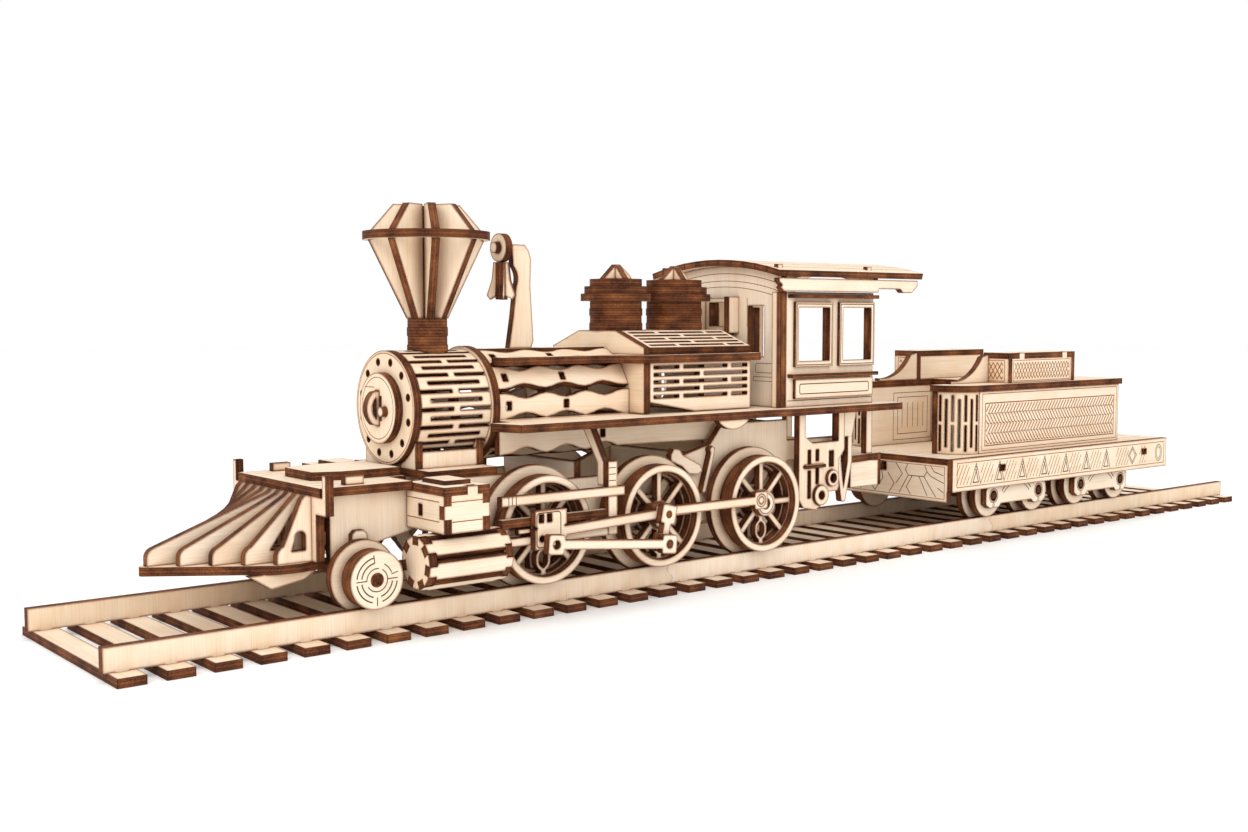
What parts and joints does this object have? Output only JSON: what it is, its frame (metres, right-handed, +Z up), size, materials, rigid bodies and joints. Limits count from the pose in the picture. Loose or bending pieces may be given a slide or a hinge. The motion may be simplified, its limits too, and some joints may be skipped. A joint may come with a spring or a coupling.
{
  "type": "wooden locomotive jigsaw model",
  "caption": "Laser-cut plywood steam locomotive with tender, rolling on a straight plywood track, with spoked wheels, side rods, cowcatcher and cone chimney.",
  "frame": {"origin": "middle of the track on the underside of its sleepers", "axes": "+X along the track towards the tender, +Y across the track, +Z up"},
  "size_m": [0.657, 0.1118, 0.15],
  "materials": {
    "birch_ply": "sanded face veneer",
    "birch_ply_edge": "laser-browned edge"
  },
  "bodies": {
    "track": {"sleepers": "birch_ply_edge", "rail_near": "birch_ply", "rail_far": "birch_ply"},
    "engine": {"bell_post": "birch_ply", "boiler_bulkheads": "birch_ply", "boiler_strips": "birch_ply", "buffer_beam": "birch_ply", "cab_frames": "birch_ply", "cab_fronts": "birch_ply", "cab_roof": "birch_ply_edge", "cab_sides": "birch_ply", "cab_valances": "birch_ply", "cab_window_box": "birch_ply", "cowcatcher_ribs": "birch_ply", "cylinders": "birch_ply", "dome_caps": "birch_ply", "dome_front": "birch_ply_edge", "dome_rear": "birch_ply_edge", "drawbar": "birch_ply", "firebox_wrap": "birch_ply", "frame_plates": "birch_ply", "frame_spreaders": "birch_ply", "front_deck": "birch_ply", "guide_bars": "birch_ply", "motion_brackets": "birch_ply", "pilot_base": "birch_ply", "pilot_hangers": "birch_ply", "pumps": "birch_ply", "rear_frame": "birch_ply", "running_boards": "birch_ply", "saddle": "birch_ply", "smokebox_door": "birch_ply", "smokebox_rings": "birch_ply_edge", "smokebox_wrap": "birch_ply", "stack_cone": "birch_ply", "stack_neck": "birch_ply_edge", "stack_ring": "birch_ply_edge", "steam_chests": "birch_ply", "upper_shelves": "birch_ply"},
    "tender": {"tender_frame": "birch_ply", "tender_tank": "birch_ply", "corner_wraps": "birch_ply", "tank_top": "birch_ply", "tool_boxes": "birch_ply"},
    "pilot_wheels": {"pilot_wheels": "birch_ply"},
    "driver_wheels_1": {"driver_wheels_1": "birch_ply"},
    "driver_wheels_2": {"driver_wheels_2": "birch_ply"},
    "driver_wheels_3": {"driver_wheels_3": "birch_ply"},
    "coupling_rods": {"coupling_rods": "birch_ply"},
    "valve_rods": {"valve_rods": "birch_ply"},
    "main_rods": {"main_rods": "birch_ply"},
    "crossheads": {"crossheads": "birch_ply"},
    "bell": {"bell": "birch_ply"},
    "bogie_front": {"bogie_front": "birch_ply"},
    "bogie_rear": {"bogie_rear": "birch_ply"},
    "tender_wheels_front_lead": {"tender_wheels_front_lead": "birch_ply"},
    "tender_wheels_front_trail": {"tender_wheels_front_trail": "birch_ply"},
    "tender_wheels_rear_lead": {"tender_wheels_rear_lead": "birch_ply"},
    "tender_wheels_rear_trail": {"tender_wheels_rear_trail": "birch_ply"}
  },
  "joints": [
    {"name": "engine_roll", "type": "slide", "parent": "track", "child": "engine", "axis": [1, 0, 0], "range_m": [-0.06, 0.09]},
    {"name": "tender_roll", "type": "slide", "parent": "track", "child": "tender", "axis": [1, 0, 0], "range_m": [-0.06, 0.09]},
    {"name": "pilot_wheels_turn", "type": "hinge", "parent": "engine", "child": "pilot_wheels", "pos_m": [-0.239, 0, 0.0213], "axis": [0, 1, 0], "continuous": true},
    {"name": "driver_1_turn", "type": "hinge", "parent": "engine", "child": "driver_wheels_1", "pos_m": [-0.1685, 0, 0.0313], "axis": [0, 1, 0], "continuous": true},
    {"name": "driver_2_turn", "type": "hinge", "parent": "engine", "child": "driver_wheels_2", "pos_m": [-0.1125, 0, 0.0313], "axis": [0, 1, 0], "continuous": true},
    {"name": "driver_3_turn", "type": "hinge", "parent": "engine", "child": "driver_wheels_3", "pos_m": [-0.0565, 0, 0.0313], "axis": [0, 1, 0], "continuous": true},
    {"name": "coupling_rods_pivot", "type": "hinge", "parent": "driver_wheels_2", "child": "coupling_rods", "pos_m": [-0.1185, 0, 0.0335], "axis": [0, 1, 0], "continuous": true},
    {"name": "main_rods_pivot", "type": "hinge", "parent": "driver_wheels_2", "child": "main_rods", "pos_m": [-0.1185, 0, 0.0335], "axis": [0, 1, 0], "continuous": true},
    {"name": "valve_rods_pivot", "type": "hinge", "parent": "driver_wheels_2", "child": "valve_rods", "pos_m": [-0.121, 0, 0.0227], "axis": [0, 1, 0], "continuous": true},
    {"name": "crosshead_slide", "type": "slide", "parent": "engine", "child": "crossheads", "axis": [1, 0, 0], "range_m": [-0.007, 0.007]},
    {"name": "bell_swing", "type": "hinge", "parent": "engine", "child": "bell", "pos_m": [-0.159, 0, 0.1352], "axis": [1, 0, 0], "range_deg": [-30, 30]},
    {"name": "bogie_front_swivel", "type": "hinge", "parent": "tender", "child": "bogie_front", "pos_m": [0.1175, 0, 0.0218], "axis": [0, 0, 1], "range_deg": [-1.2, 1.2]},
    {"name": "tender_wheels_front_lead_turn", "type": "hinge", "parent": "bogie_front", "child": "tender_wheels_front_lead", "pos_m": [0.099, 0, 0.0218], "axis": [0, 1, 0], "continuous": true},
    {"name": "tender_wheels_front_trail_turn", "type": "hinge", "parent": "bogie_front", "child": "tender_wheels_front_trail", "pos_m": [0.136, 0, 0.0218], "axis": [0, 1, 0], "continuous": true},
    {"name": "bogie_rear_swivel", "type": "hinge", "parent": "tender", "child": "bogie_rear", "pos_m": [0.192, 0, 0.0218], "axis": [0, 0, 1], "range_deg": [-1.2, 1.2]},
    {"name": "tender_wheels_rear_lead_turn", "type": "hinge", "parent": "bogie_rear", "child": "tender_wheels_rear_lead", "pos_m": [0.1735, 0, 0.0218], "axis": [0, 1, 0], "continuous": true},
    {"name": "tender_wheels_rear_trail_turn", "type": "hinge", "parent": "bogie_rear", "child": "tender_wheels_rear_trail", "pos_m": [0.2105, 0, 0.0218], "axis": [0, 1, 0], "continuous": true}
  ],
  "couplings": [
    {"joint": "tender_roll", "follows": "engine_roll", "ratio": 1},
    {"joint": "pilot_wheels_turn", "follows": "engine_roll", "rad_per_m": 100},
    {"joint": "driver_1_turn", "follows": "engine_roll", "rad_per_m": 50},
    {"joint": "driver_2_turn", "follows": "engine_roll", "rad_per_m": 50},
    {"joint": "driver_3_turn", "follows": "engine_roll", "rad_per_m": 50},
    {"joint": "coupling_rods_pivot", "follows": "engine_roll", "rad_per_m": -50},
    {"joint": "main_rods_pivot", "follows": "engine_roll", "rad_per_m": -50},
    {"joint": "valve_rods_pivot", "follows": "engine_roll", "rad_per_m": -50},
    {"joint": "tender_wheels_front_lead_turn", "follows": "engine_roll", "rad_per_m": 95.238},
    {"joint": "tender_wheels_front_trail_turn", "follows": "engine_roll", "rad_per_m": 95.238},
    {"joint": "tender_wheels_rear_lead_turn", "follows": "engine_roll", "rad_per_m": 95.238},
    {"joint": "tender_wheels_rear_trail_turn", "follows": "engine_roll", "rad_per_m": 95.238}
  ]
}
